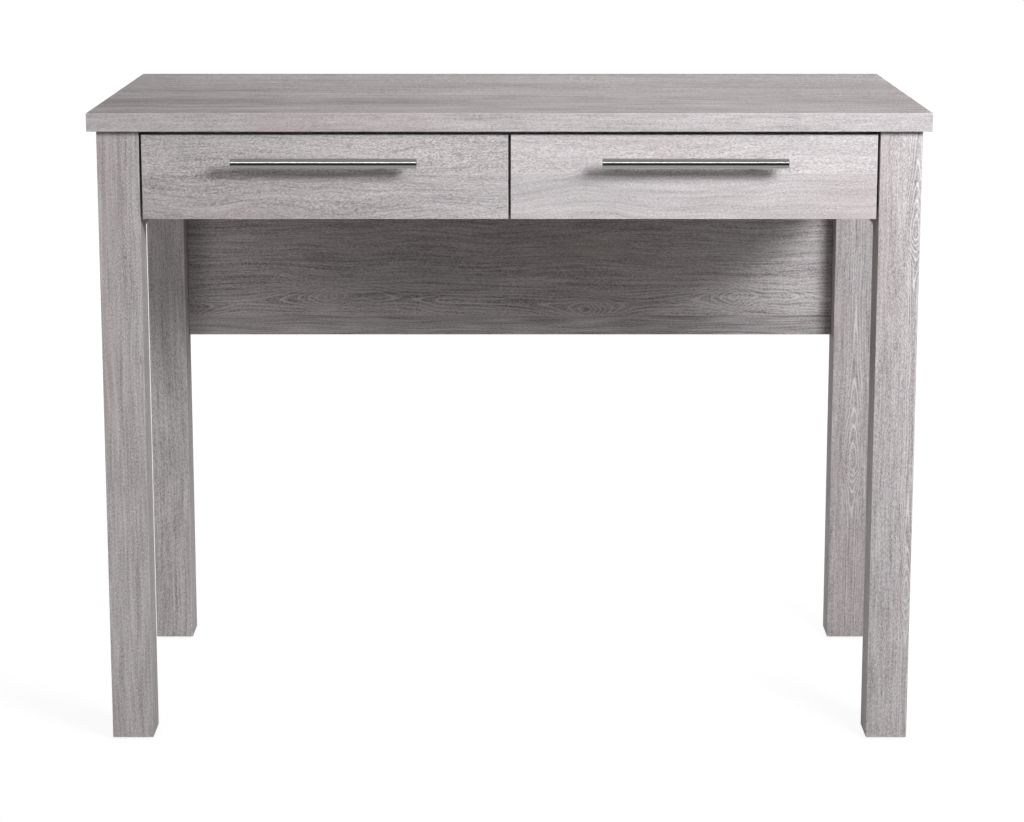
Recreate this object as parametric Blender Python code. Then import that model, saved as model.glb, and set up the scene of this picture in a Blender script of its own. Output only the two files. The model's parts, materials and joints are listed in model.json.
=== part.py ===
"""Writing desk with two drawers side by side: boards, runners, rollers, handles and fittings.

Frame: metres, +Z up. The front of the desk faces -Y, and +X is to the right as seen from the front.
The origin is on the floor, below the middle of the whole desk with its handles.
Each drawer slides out along -Y on two roller runners.
"""

import math

import bmesh
import bpy
from mathutils import Matrix, Vector

# --- Driving dimensions, in metres ---

GAP = 0.0003  # between pieces that touch

DESK_WIDTH = 1.000
DESK_DEPTH = 0.500
DESK_HEIGHT = 0.778
DESKTOP_THICKNESS = 0.022
SIDE_OVERHANG = 0.010
FRONT_OVERHANG = 0.010
REAR_OVERHANG = 0.025

LEG_SIDE = 0.050
GLIDE_HEIGHT = 0.003
GLIDE_RADIUS = 0.010
GLIDE_CHAMFER = 0.001

BOARD = 0.015  # rails, divider, modesty panel and drawer fronts
SIDE_RAIL_HEIGHT = 0.1187
MODESTY_PANEL_HEIGHT = 0.332
DIVIDER_HEIGHT = 0.106
FRONT_RAIL_HEIGHT = 0.014
FRONT_RAIL_SETBACK = 0.002  # behind the drawer fronts

DRAWER_FRONT_HEIGHT = 0.101
DRAWER_FRONT_TOP_GAP = 0.0047
DRAWER_FRONT_SIDE_GAP = 0.003
DRAWER_SIDE_THICKNESS = 0.012
DRAWER_SIDE_HEIGHT = 0.075
DRAWER_SIDE_LIFT = 0.0100  # from the front's lower edge up to the sides' lower edge
DRAWER_BOX_LENGTH = 0.350
DRAWER_BOTTOM_THICKNESS = 0.003
DRAWER_BOTTOM_LIFT = 0.007  # from the sides' lower edge up to the bottom
GROOVE_DEPTH = 0.005

RUNNER_SPACE = 0.0125  # from the carcass to the drawer side
RUNNER_LENGTH = 0.350
RUNNER_SHEET = 0.0012
RUNNER_SETBACK = 0.005  # from the back of the drawer front to the cabinet runner
DRAWER_RUNNER_SETBACK = 0.002  # from the front end of the drawer side to its runner
CHANNEL_DROP = 0.002  # from the drawer sides' lower edge down to the channel's underside
ROLLER_PLAY = 0.0001  # more than the gaps above and below a roller in its channel
ROLLER_PROUD = 0.001  # how far the cabinet roller stands above its channel
ROLLER_END_SPACE = 0.003  # in front of the cabinet roller and behind it
WEB_BELOW = 0.006  # from the drawer roller's axle down to the drawer runner's lower edge
WEB_ABOVE = 0.018  # from the drawer runner's flange up to its upper edge
ROLLER_RADIUS = 0.009
ROLLER_BORE_RADIUS = 0.0023
ROLLER_WIDTH = 0.007
ROLLER_CHAMFER = 0.0006
RIVET_RADIUS = 0.0020
RIVET_HEAD_RADIUS = 0.0035
RIVET_HEAD_THICKNESS = 0.0008
CHANNEL_REACH = 0.0100  # from the carcass to the channel's lips
FLANGE_REACH = 0.0020  # from the carcass to the drawer runner's flange
CABINET_ROLLER_REACH = 0.0056  # from the carcass to the middle of the roller
DRAWER_ROLLER_REACH = 0.0068

HANDLE_LENGTH = 0.220
HANDLE_CENTRES = 0.160
HANDLE_RADIUS = 0.006
HANDLE_CHAMFER = 0.0005
HANDLE_STAND_OFF = 0.027  # from the drawer front to the bar's axis
HANDLE_DROP = 0.031  # from the drawer front's upper edge to the bar's axis
POST_RADIUS = 0.004
POST_BORE_SPARE = 0.002  # how far the bore runs past the screw's end
SCREW_LENGTH = 0.030
SCREW_RADIUS = 0.0019
SCREW_BORE_RADIUS = 0.0023
SCREW_HEAD_RADIUS = 0.0040
SCREW_HEAD_HEIGHT = 0.0024
SCREW_HEAD_TOP_RADIUS = 0.0028
RECESS_REACH = 0.0022  # from the screw's axis to the end of an arm of its cross recess
RECESS_HALF_WIDTH = 0.0005
RECESS_DEPTH = 0.0014

CAM_RADIUS = 0.0075
CAM_DEPTH = 0.0122
CAM_CHAMFER = 0.0004
CAM_SLOT_REACH = 0.0050
CAM_SLOT_WIDTH = 0.0012
CAM_SLOT_DEPTH = 0.0025
CAM_SETBACK = 0.034  # from a board's end to the cam's middle
RAIL_CAM_DROP = 0.040  # from the carcass top
PANEL_CAM_INSET = 0.060  # from the panel's upper and lower edges
PANEL_INSET = 0.0005  # from the rear legs' rear faces to the panel's

EDGE_ROUND = 0.0008  # on boards
EDGE_ROUND_LEG = 0.0012
ROUND_SEGMENTS = 32
SMALL_SEGMENTS = 20
CUT_MARGIN = 0.010  # how far a straight cutter runs past the face it opens
HOLE_MARGIN = 0.001

# --- Places worked out from them ---

HANDLE_REACH = HANDLE_STAND_OFF + HANDLE_RADIUS - FRONT_OVERHANG  # past the desktop's front edge
TOP_FRONT_Y = -(DESK_DEPTH - HANDLE_REACH) / 2
TOP_REAR_Y = TOP_FRONT_Y + DESK_DEPTH
UNDER_TOP_Z = DESK_HEIGHT - DESKTOP_THICKNESS
CARCASS_TOP_Z = UNDER_TOP_Z - GAP

LEG_OUTER_X = DESK_WIDTH / 2 - SIDE_OVERHANG
LEG_INNER_X = LEG_OUTER_X - LEG_SIDE
LEG_FRONT_Y = TOP_FRONT_Y + FRONT_OVERHANG
LEG_REAR_Y = TOP_REAR_Y - REAR_OVERHANG
LEG_BOTTOM_Z = GLIDE_HEIGHT + GAP
PANEL_REAR_Y = LEG_REAR_Y - PANEL_INSET

FRONT_TOP_Z = UNDER_TOP_Z - DRAWER_FRONT_TOP_GAP
FRONT_BOTTOM_Z = FRONT_TOP_Z - DRAWER_FRONT_HEIGHT
FRONT_BACK_Y = LEG_FRONT_Y + BOARD
SIDE_BOTTOM_Z = FRONT_BOTTOM_Z + DRAWER_SIDE_LIFT
SIDE_TOP_Z = SIDE_BOTTOM_Z + DRAWER_SIDE_HEIGHT
BOTTOM_Z = SIDE_BOTTOM_Z + DRAWER_BOTTOM_LIFT
BOX_FRONT_Y = FRONT_BACK_Y + GAP
BOX_REAR_Y = BOX_FRONT_Y + DRAWER_BOX_LENGTH

BAY_INNER_X = BOARD / 2  # the divider's face
BAY_OUTER_X = LEG_INNER_X  # the side rail's face
BOX_INNER_X = BAY_INNER_X + RUNNER_SPACE
BOX_OUTER_X = BAY_OUTER_X - RUNNER_SPACE
FRONT_INNER_X = DRAWER_FRONT_SIDE_GAP / 2
FRONT_OUTER_X = LEG_INNER_X - DRAWER_FRONT_SIDE_GAP
DRAWER_MIDDLE_X = (FRONT_INNER_X + FRONT_OUTER_X) / 2

CABINET_RUNNER_Y = FRONT_BACK_Y + RUNNER_SETBACK
CHANNEL_BOTTOM_Z = SIDE_BOTTOM_Z - CHANNEL_DROP
CHANNEL_INSIDE = 2 * ROLLER_RADIUS + 2 * GAP + ROLLER_PLAY
CHANNEL_TOP_Z = CHANNEL_BOTTOM_Z + CHANNEL_INSIDE + 2 * RUNNER_SHEET
CABINET_ROLLER_Z = CHANNEL_TOP_Z + ROLLER_PROUD - ROLLER_RADIUS
CABINET_ROLLER_Y = CABINET_RUNNER_Y + ROLLER_RADIUS + ROLLER_END_SPACE
DRAWER_RUNNER_Y = BOX_FRONT_Y + DRAWER_RUNNER_SETBACK
DRAWER_ROLLER_Z = CHANNEL_BOTTOM_Z + RUNNER_SHEET + GAP + ROLLER_RADIUS
DRAWER_ROLLER_Y = DRAWER_RUNNER_Y + RUNNER_LENGTH - ROLLER_RADIUS
FLANGE_Z = CABINET_ROLLER_Z + ROLLER_RADIUS + GAP

HANDLE_Y = LEG_FRONT_Y - HANDLE_STAND_OFF
HANDLE_Z = FRONT_TOP_Z - HANDLE_DROP

SIDES = {"left": -1, "right": 1}

# --- Finishes: colour, roughness, metallic ---

FINISHES = {
    "oak_laminate": ((0.40, 0.375, 0.375, 1), 0.55, 0.0),
    "drawer_liner": ((0.46, 0.44, 0.43, 1), 0.60, 0.0),
    "drawer_bottom": ((0.50, 0.48, 0.47, 1), 0.65, 0.0),
    "satin_steel": ((0.62, 0.61, 0.60, 1), 0.28, 1.0),
    "runner_enamel": ((0.80, 0.80, 0.78, 1), 0.40, 0.0),
    "nylon": ((0.85, 0.84, 0.80, 1), 0.45, 0.0),
    "zinc": ((0.56, 0.57, 0.58, 1), 0.38, 1.0),
    "glide_plastic": ((0.08, 0.08, 0.08, 1), 0.50, 0.0),
}


def clear_scene():
    for obj in list(bpy.data.objects):
        bpy.data.objects.remove(obj, do_unlink=True)


def new_material(name, finish):
    colour, roughness, metallic = FINISHES[finish]
    material = bpy.data.materials.new(name)
    material.use_nodes = True
    shader = material.node_tree.nodes["Principled BSDF"]
    shader.inputs["Base Color"].default_value = colour
    shader.inputs["Roughness"].default_value = roughness
    shader.inputs["Metallic"].default_value = metallic
    material.diffuse_color = colour
    return material


def new_object(name, mesh, place, finish, parent=None, rounded=False):
    """An object of this mesh at a place in the world, with its own material."""
    obj = bpy.data.objects.new(name, mesh)
    bpy.context.scene.collection.objects.link(obj)
    obj.location = Vector(place) - (parent.location if parent else Vector())
    obj.parent = parent
    mesh.materials.append(new_material(name + "_finish", finish))
    if rounded:
        mesh.shade_smooth()
        mesh.set_sharp_from_angle(angle=math.radians(35))
    return obj


def mesh_of(name, shape):
    bmesh.ops.recalc_face_normals(shape, faces=shape.faces[:])
    mesh = bpy.data.meshes.new(name)
    shape.to_mesh(mesh)
    shape.free()
    return mesh


def block_mesh(name, size):
    shape = bmesh.new()
    bmesh.ops.create_cube(shape, size=1.0, matrix=Matrix.Diagonal((*size, 1)))
    return mesh_of(name, shape)


def extruded_mesh(name, outline, length):
    """An outline of (x, z) points, extruded along +Y from y = 0."""
    shape = bmesh.new()
    face = shape.faces.new([shape.verts.new((x, 0, z)) for x, z in outline])
    made = bmesh.ops.extrude_face_region(shape, geom=[face])
    moved = [v for v in made["geom"] if isinstance(v, bmesh.types.BMVert)]
    bmesh.ops.translate(shape, verts=moved, vec=(0, length, 0))
    return mesh_of(name, shape)


def turned_mesh(name, profile, segments, turn=Matrix.Identity(3), bored=False):
    """A closed profile of (radius, height) points, turned about Z, then rotated. A bored one is a ring."""
    shape = bmesh.new()
    rings = []
    for radius, height in profile:
        angles = [2 * math.pi * i / segments for i in range(segments)]
        ring = [(radius * math.cos(a), radius * math.sin(a), height) for a in angles]
        rings.append([shape.verts.new(point) for point in ring])
    pairs = list(zip(rings, rings[1:]))
    if bored:
        pairs.append((rings[-1], rings[0]))
    for low, high in pairs:
        for i in range(segments):
            j = (i + 1) % segments
            shape.faces.new((low[i], low[j], high[j], high[i]))
    if not bored:
        shape.faces.new(rings[0])
        shape.faces.new(rings[-1])
    bmesh.ops.rotate(shape, verts=shape.verts[:], matrix=turn)
    return mesh_of(name, shape)


def round_edges(obj, width):
    bevel = obj.modifiers.new("rounded_edges", "BEVEL")
    bevel.width = width
    bevel.segments = 1
    bevel.limit_method = "ANGLE"
    bevel.angle_limit = math.radians(60)


def board(name, low, high, finish="oak_laminate", parent=None, edge=EDGE_ROUND):
    """A rectangular board between two corners, with its edges broken."""
    low, high = Vector(low), Vector(high)
    obj = new_object(name, block_mesh(name, high - low), (low + high) / 2, finish, parent)
    if edge:
        round_edges(obj, edge)
    return obj


def hidden_tool(name, mesh, place):
    """A helper that only shapes other objects. It is not a piece of the desk."""
    tool = bpy.data.objects.new(name, mesh)
    bpy.context.scene.collection.objects.link(tool)
    tool.location = place
    tool.hide_render = True
    tool.display_type = "WIRE"
    return tool


def combine(obj, tool, operation="DIFFERENCE"):
    boolean = obj.modifiers.new(tool.name, "BOOLEAN")
    boolean.operation = operation
    boolean.object = tool


def cut_block(obj, name, low, high):
    low, high = Vector(low), Vector(high)
    combine(obj, hidden_tool(name, block_mesh(name, high - low), (low + high) / 2))


def cut_round(obj, name, radius, start, end, segments=SMALL_SEGMENTS):
    """A round hole from one point to another."""
    start, end = Vector(start), Vector(end)
    along = end - start
    turn = along.to_track_quat("Z", "Y").to_matrix()
    mesh = turned_mesh(name, [(radius, 0), (radius, along.length)], segments, turn)
    combine(obj, hidden_tool(name, mesh, start))


def joint_empty(name, place):
    """Marks where a moving body's joint is; the body's pieces hang from it."""
    empty = bpy.data.objects.new(name, None)
    empty.empty_display_size = 0.03
    bpy.context.scene.collection.objects.link(empty)
    empty.location = place
    return empty


# --- Frame ---


def make_desktop():
    board(
        "desktop",
        (-DESK_WIDTH / 2, TOP_FRONT_Y, UNDER_TOP_Z),
        (DESK_WIDTH / 2, TOP_REAR_Y, DESK_HEIGHT),
    )


def make_leg(end, side, hand):
    front_y = LEG_FRONT_Y if end == "front" else LEG_REAR_Y - LEG_SIDE
    xs = sorted((hand * LEG_INNER_X, hand * LEG_OUTER_X))
    board(
        f"leg_{end}_{side}",
        (xs[0], front_y, LEG_BOTTOM_Z),
        (xs[1], front_y + LEG_SIDE, CARCASS_TOP_Z),
        edge=EDGE_ROUND_LEG,
    )
    place = (sum(xs) / 2, front_y + LEG_SIDE / 2, 0)
    profile = [
        (GLIDE_RADIUS - GLIDE_CHAMFER, 0),
        (GLIDE_RADIUS, GLIDE_CHAMFER),
        (GLIDE_RADIUS, GLIDE_HEIGHT),
    ]
    name = f"glide_{end}_{side}"
    mesh = turned_mesh(name, profile, SMALL_SEGMENTS)
    new_object(name, mesh, place, "glide_plastic", rounded=True)


def make_cam(name, place, outward, target):
    """A cam lock in its pocket in a board: a slotted zinc disc flush with the board's face."""
    place, outward = Vector(place), Vector(outward)
    pocket_end = place - outward * (CAM_DEPTH + GAP)
    cut_round(target, name + "_pocket", CAM_RADIUS + GAP, place + outward * HOLE_MARGIN, pocket_end)
    turn = (-outward).to_track_quat("Z", "Y").to_matrix()
    profile = [
        (CAM_RADIUS - CAM_CHAMFER, 0),
        (CAM_RADIUS, CAM_CHAMFER),
        (CAM_RADIUS, CAM_DEPTH),
    ]
    mesh = turned_mesh(name, profile, SMALL_SEGMENTS, turn)
    face = place - outward * GAP
    cam = new_object(name, mesh, face, "zinc", rounded=True)
    up = Vector((0, 0, 1))
    across = up.cross(outward)
    half = up * CAM_SLOT_REACH + across * CAM_SLOT_WIDTH / 2 + outward * CAM_SLOT_DEPTH
    half = Vector([abs(v) for v in half])
    cut_block(cam, name + "_slot", face - half, face + half)


def make_side_rail(side, hand):
    xs = sorted((hand * LEG_INNER_X, hand * (LEG_INNER_X + BOARD)))
    front_y = LEG_FRONT_Y + LEG_SIDE + GAP
    rear_y = LEG_REAR_Y - LEG_SIDE - GAP
    rail = board(
        f"side_rail_{side}",
        (xs[0], front_y, CARCASS_TOP_Z - SIDE_RAIL_HEIGHT),
        (xs[1], rear_y, CARCASS_TOP_Z),
    )
    cam_z = CARCASS_TOP_Z - RAIL_CAM_DROP
    for end, cam_y in (("front", front_y + CAM_SETBACK), ("rear", rear_y - CAM_SETBACK)):
        make_cam(f"cam_lock_rail_{end}_{side}", (hand * LEG_INNER_X, cam_y, cam_z), (-hand, 0, 0), rail)


def make_modesty_panel():
    half_width = LEG_INNER_X - GAP
    bottom_z = CARCASS_TOP_Z - MODESTY_PANEL_HEIGHT
    panel = board(
        "modesty_panel",
        (-half_width, PANEL_REAR_Y - BOARD, bottom_z),
        (half_width, PANEL_REAR_Y, CARCASS_TOP_Z),
    )
    cam_heights = {"lower": bottom_z + PANEL_CAM_INSET, "upper": CARCASS_TOP_Z - PANEL_CAM_INSET}
    for side, hand in SIDES.items():
        for level, cam_z in cam_heights.items():
            cam_x = hand * (half_width - CAM_SETBACK)
            make_cam(f"cam_lock_panel_{level}_{side}", (cam_x, PANEL_REAR_Y, cam_z), (0, 1, 0), panel)


def make_divider_and_front_rail():
    """The divider hangs under the desktop's middle. The flat front rail crosses its notched front corner."""
    rail_front_y = FRONT_BACK_Y + FRONT_RAIL_SETBACK
    rail_rear_y = LEG_FRONT_Y + LEG_SIDE
    rail_bottom_z = CARCASS_TOP_Z - FRONT_RAIL_HEIGHT
    half_width = LEG_INNER_X - GAP
    board(
        "front_rail",
        (-half_width, rail_front_y, rail_bottom_z),
        (half_width, rail_rear_y, CARCASS_TOP_Z),
    )
    divider_rear_y = PANEL_REAR_Y - BOARD - GAP
    divider = board(
        "centre_divider",
        (-BAY_INNER_X, rail_front_y, CARCASS_TOP_Z - DIVIDER_HEIGHT),
        (BAY_INNER_X, divider_rear_y, CARCASS_TOP_Z),
    )
    cut_block(
        divider,
        "divider_notch",
        (-BOARD, rail_front_y - CUT_MARGIN, rail_bottom_z - GAP),
        (BOARD, rail_rear_y + GAP, CARCASS_TOP_Z + CUT_MARGIN),
    )


# --- Roller runners. Distances across them run from the carcass face towards the drawer side. ---


def add_rivet(runner, face_x, towards, web_reach, roller_reach, y, z):
    """Joins a headed rivet along X to a runner's web. Its roller turns on it."""
    out = 1 if roller_reach > web_reach else -1
    to_head = abs(roller_reach - web_reach) + ROLLER_WIDTH / 2 + GAP
    profile = [
        (RIVET_RADIUS, 0),
        (RIVET_RADIUS, to_head),
        (RIVET_HEAD_RADIUS, to_head),
        (RIVET_HEAD_RADIUS, to_head + RIVET_HEAD_THICKNESS),
    ]
    turn = Vector((out * towards, 0, 0)).to_track_quat("Z", "Y").to_matrix()
    name = runner.name + "_rivet"
    mesh = turned_mesh(name, profile, SMALL_SEGMENTS, turn)
    combine(runner, hidden_tool(name, mesh, (face_x + towards * web_reach, y, z)), "UNION")


def make_roller(name, place, parent=None):
    """A nylon roller with its axle along X."""
    half = ROLLER_WIDTH / 2
    profile = [
        (ROLLER_BORE_RADIUS, -half),
        (ROLLER_RADIUS - ROLLER_CHAMFER, -half),
        (ROLLER_RADIUS, -half + ROLLER_CHAMFER),
        (ROLLER_RADIUS, half - ROLLER_CHAMFER),
        (ROLLER_RADIUS - ROLLER_CHAMFER, half),
        (ROLLER_BORE_RADIUS, half),
    ]
    turn = Vector((1, 0, 0)).to_track_quat("Z", "Y").to_matrix()
    mesh = turned_mesh(name, profile, SMALL_SEGMENTS, turn, bored=True)
    new_object(name, mesh, place, "nylon", parent, rounded=True)


def make_cabinet_runner(label, face_x, towards):
    """A channel on the carcass, open towards the drawer, with a roller at its front end."""
    web = GAP + RUNNER_SHEET
    height = CHANNEL_TOP_Z - CHANNEL_BOTTOM_Z
    outline = [
        (GAP, 0),
        (CHANNEL_REACH, 0),
        (CHANNEL_REACH, RUNNER_SHEET),
        (web, RUNNER_SHEET),
        (web, height - RUNNER_SHEET),
        (CHANNEL_REACH, height - RUNNER_SHEET),
        (CHANNEL_REACH, height),
        (GAP, height),
    ]
    name = f"cabinet_runner_{label}"
    mesh = extruded_mesh(name, [(towards * x, z) for x, z in outline], RUNNER_LENGTH)
    place = (face_x, CABINET_RUNNER_Y, CHANNEL_BOTTOM_Z)
    runner = new_object(name, mesh, place, "runner_enamel")
    notch = sorted((face_x + towards * web, face_x + towards * RUNNER_SPACE))
    notch_rear_y = CABINET_ROLLER_Y + ROLLER_RADIUS + ROLLER_END_SPACE
    cut_block(
        runner,
        name + "_roller_notch",
        (notch[0], CABINET_RUNNER_Y - CUT_MARGIN, CHANNEL_TOP_Z - 2 * RUNNER_SHEET),
        (notch[1], notch_rear_y, CHANNEL_TOP_Z + CUT_MARGIN),
    )
    reach = CABINET_ROLLER_REACH
    web_middle = GAP + RUNNER_SHEET / 2
    add_rivet(runner, face_x, towards, web_middle, reach, CABINET_ROLLER_Y, CABINET_ROLLER_Z)
    roller_x = face_x + towards * reach
    make_roller(f"cabinet_roller_{label}", (roller_x, CABINET_ROLLER_Y, CABINET_ROLLER_Z))


def make_drawer_runner(label, face_x, towards, joint):
    """A plate on the drawer side whose flange runs on the cabinet roller, with a roller at its rear end."""
    web_far = RUNNER_SPACE - GAP
    web_near = web_far - RUNNER_SHEET
    web_bottom = DRAWER_ROLLER_Z - WEB_BELOW
    web_top = FLANGE_Z + WEB_ABOVE
    outline = [
        (web_far, web_bottom),
        (web_far, web_top),
        (web_near, web_top),
        (web_near, FLANGE_Z + RUNNER_SHEET),
        (FLANGE_REACH, FLANGE_Z + RUNNER_SHEET),
        (FLANGE_REACH, FLANGE_Z),
        (web_near, FLANGE_Z),
        (web_near, web_bottom),
    ]
    name = f"drawer_runner_{label}"
    mesh = extruded_mesh(name, [(towards * x, z - FLANGE_Z) for x, z in outline], RUNNER_LENGTH)
    place = (face_x, DRAWER_RUNNER_Y, FLANGE_Z)
    runner = new_object(name, mesh, place, "runner_enamel", joint)
    reach = DRAWER_ROLLER_REACH
    web_middle = web_far - RUNNER_SHEET / 2
    add_rivet(runner, face_x, towards, web_middle, reach, DRAWER_ROLLER_Y, DRAWER_ROLLER_Z)
    roller_x = face_x + towards * reach
    make_roller(f"drawer_roller_{label}", (roller_x, DRAWER_ROLLER_Y, DRAWER_ROLLER_Z), joint)


# --- Drawers ---


def span(hand, inner, outer):
    """The lower and higher x of a stretch given by its distances from the middle plane."""
    return sorted((hand * inner, hand * outer))


def make_drawer_front(side, hand, joint):
    xs = span(hand, FRONT_INNER_X, FRONT_OUTER_X)
    front = board(
        f"drawer_front_{side}",
        (xs[0], LEG_FRONT_Y, FRONT_BOTTOM_Z),
        (xs[1], FRONT_BACK_Y, FRONT_TOP_Z),
        parent=joint,
    )
    groove = span(hand, BOX_INNER_X + DRAWER_SIDE_THICKNESS, BOX_OUTER_X - DRAWER_SIDE_THICKNESS)
    cut_block(
        front,
        f"front_groove_{side}",
        (groove[0] - GROOVE_DEPTH, FRONT_BACK_Y - GROOVE_DEPTH, BOTTOM_Z - GAP),
        (groove[1] + GROOVE_DEPTH, FRONT_BACK_Y + CUT_MARGIN, BOTTOM_Z + DRAWER_BOTTOM_THICKNESS + GAP),
    )
    return front


def make_drawer_box(side, hand, joint):
    """Two grooved sides, a back that stands on the bottom, and the bottom itself."""
    walls = {
        "inner": (BOX_INNER_X, BOX_INNER_X + DRAWER_SIDE_THICKNESS, 1),
        "outer": (BOX_OUTER_X - DRAWER_SIDE_THICKNESS, BOX_OUTER_X, -1),
    }
    groove_low = BOTTOM_Z - GAP
    groove_high = BOTTOM_Z + DRAWER_BOTTOM_THICKNESS + GAP
    for wall, (near, far, opens) in walls.items():
        xs = span(hand, near, far)
        piece = board(
            f"drawer_side_{side}_{wall}",
            (xs[0], BOX_FRONT_Y, SIDE_BOTTOM_Z),
            (xs[1], BOX_REAR_Y, SIDE_TOP_Z),
            "drawer_liner",
            joint,
        )
        inside = far if opens > 0 else near
        groove = span(hand, inside - opens * GROOVE_DEPTH, inside + opens * CUT_MARGIN)
        cut_block(
            piece,
            f"side_groove_{side}_{wall}",
            (groove[0], BOX_FRONT_Y - CUT_MARGIN, groove_low),
            (groove[1], BOX_REAR_Y + CUT_MARGIN, groove_high),
        )
    between = (BOX_INNER_X + DRAWER_SIDE_THICKNESS + GAP, BOX_OUTER_X - DRAWER_SIDE_THICKNESS - GAP)
    back = span(hand, *between)
    board(
        f"drawer_back_{side}",
        (back[0], BOX_REAR_Y - DRAWER_SIDE_THICKNESS, groove_high),
        (back[1], BOX_REAR_Y, SIDE_TOP_Z),
        "drawer_liner",
        joint,
    )
    board(
        f"drawer_bottom_{side}",
        (back[0] - GROOVE_DEPTH + 2 * GAP, FRONT_BACK_Y - GROOVE_DEPTH + GAP, BOTTOM_Z),
        (back[1] + GROOVE_DEPTH - 2 * GAP, BOX_REAR_Y, BOTTOM_Z + DRAWER_BOTTOM_THICKNESS),
        "drawer_bottom",
        joint,
        edge=0,
    )


def make_handle(side, hand, joint, front):
    """A round bar on two posts, each held by a screw from inside the drawer front."""
    middle_x = hand * DRAWER_MIDDLE_X
    along_x = Vector((1, 0, 0)).to_track_quat("Z", "Y").to_matrix()
    towards_front = Vector((0, -1, 0)).to_track_quat("Z", "Y").to_matrix()
    half = HANDLE_LENGTH / 2
    profile = [
        (HANDLE_RADIUS - HANDLE_CHAMFER, -half),
        (HANDLE_RADIUS, -half + HANDLE_CHAMFER),
        (HANDLE_RADIUS, half - HANDLE_CHAMFER),
        (HANDLE_RADIUS - HANDLE_CHAMFER, half),
    ]
    name = f"handle_bar_{side}"
    mesh = turned_mesh(name, profile, ROUND_SEGMENTS, along_x)
    new_object(name, mesh, (middle_x, HANDLE_Y, HANDLE_Z), "satin_steel", joint, rounded=True)

    saddle = f"handle_saddle_{side}"
    profile = [(HANDLE_RADIUS + GAP, -half), (HANDLE_RADIUS + GAP, half)]
    saddle_mesh = turned_mesh(saddle, profile, ROUND_SEGMENTS, along_x)
    saddle_tool = hidden_tool(saddle, saddle_mesh, (middle_x, HANDLE_Y, HANDLE_Z))

    # A post is made long enough to enter the bar, then trimmed to the bar's curve.
    post_length = HANDLE_STAND_OFF - GAP - HANDLE_RADIUS / 3
    post_profile = [(POST_RADIUS, 0), (POST_RADIUS, post_length)]
    bore_end_y = FRONT_BACK_Y + GAP - SCREW_LENGTH - POST_BORE_SPARE
    for number, offset in ((1, -HANDLE_CENTRES / 2), (2, HANDLE_CENTRES / 2)):
        x = middle_x + offset
        name = f"handle_post_{side}_{number}"
        mesh = turned_mesh(name, post_profile, SMALL_SEGMENTS, towards_front)
        place = (x, LEG_FRONT_Y - GAP, HANDLE_Z)
        post = new_object(name, mesh, place, "satin_steel", joint, rounded=True)
        combine(post, saddle_tool)
        bore_start = (x, LEG_FRONT_Y + HOLE_MARGIN, HANDLE_Z)
        cut_round(post, name + "_bore", SCREW_BORE_RADIUS, bore_start, (x, bore_end_y, HANDLE_Z))
        hole_start = (x, FRONT_BACK_Y + HOLE_MARGIN, HANDLE_Z)
        hole_end = (x, LEG_FRONT_Y - HOLE_MARGIN, HANDLE_Z)
        cut_round(front, name + "_hole", SCREW_BORE_RADIUS, hole_start, hole_end)
        make_handle_screw(f"handle_screw_{side}_{number}", x, joint)


def make_handle_screw(name, x, joint):
    """A screw along Y, with its head inside the drawer front and a cross recess in the head."""
    head_y = FRONT_BACK_Y + GAP
    profile = [
        (SCREW_HEAD_TOP_RADIUS, -SCREW_HEAD_HEIGHT),
        (SCREW_HEAD_RADIUS, -SCREW_HEAD_HEIGHT / 2),
        (SCREW_HEAD_RADIUS, 0),
        (SCREW_RADIUS, 0),
        (SCREW_RADIUS, SCREW_LENGTH),
    ]
    towards_front = Vector((0, -1, 0)).to_track_quat("Z", "Y").to_matrix()
    mesh = turned_mesh(name, profile, SMALL_SEGMENTS, towards_front)
    screw = new_object(name, mesh, (x, head_y, HANDLE_Z), "zinc", joint, rounded=True)
    head_face_y = head_y + SCREW_HEAD_HEIGHT
    arms = {"a": (RECESS_REACH, RECESS_HALF_WIDTH), "b": (RECESS_HALF_WIDTH, RECESS_REACH)}
    for arm, (reach_x, reach_z) in arms.items():
        cut_block(
            screw,
            f"{name}_recess_{arm}",
            (x - reach_x, head_face_y - RECESS_DEPTH, HANDLE_Z - reach_z),
            (x + reach_x, head_face_y + HOLE_MARGIN, HANDLE_Z + reach_z),
        )


def make_drawer(side, hand):
    joint = joint_empty(f"drawer_{side}_slide", (hand * DRAWER_MIDDLE_X, LEG_FRONT_Y, FLANGE_Z))
    front = make_drawer_front(side, hand, joint)
    make_drawer_box(side, hand, joint)
    make_handle(side, hand, joint, front)
    # The carcass face that each runner is on, and which way the drawer lies from it.
    for wall, distance, towards in (("inner", BAY_INNER_X, hand), ("outer", BAY_OUTER_X, -hand)):
        make_cabinet_runner(f"{side}_{wall}", hand * distance, towards)
        make_drawer_runner(f"{side}_{wall}", hand * distance, towards, joint)


def main():
    clear_scene()
    make_desktop()
    for side, hand in SIDES.items():
        for end in ("front", "rear"):
            make_leg(end, side, hand)
        make_side_rail(side, hand)
    make_modesty_panel()
    make_divider_and_front_rail()
    for side, hand in SIDES.items():
        make_drawer(side, hand)


main()
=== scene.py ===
"""Looks of the writing desk: finished boards, runners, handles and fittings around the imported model."""

import json
import math

import bmesh
import bpy
from mathutils import Matrix, Vector


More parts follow.
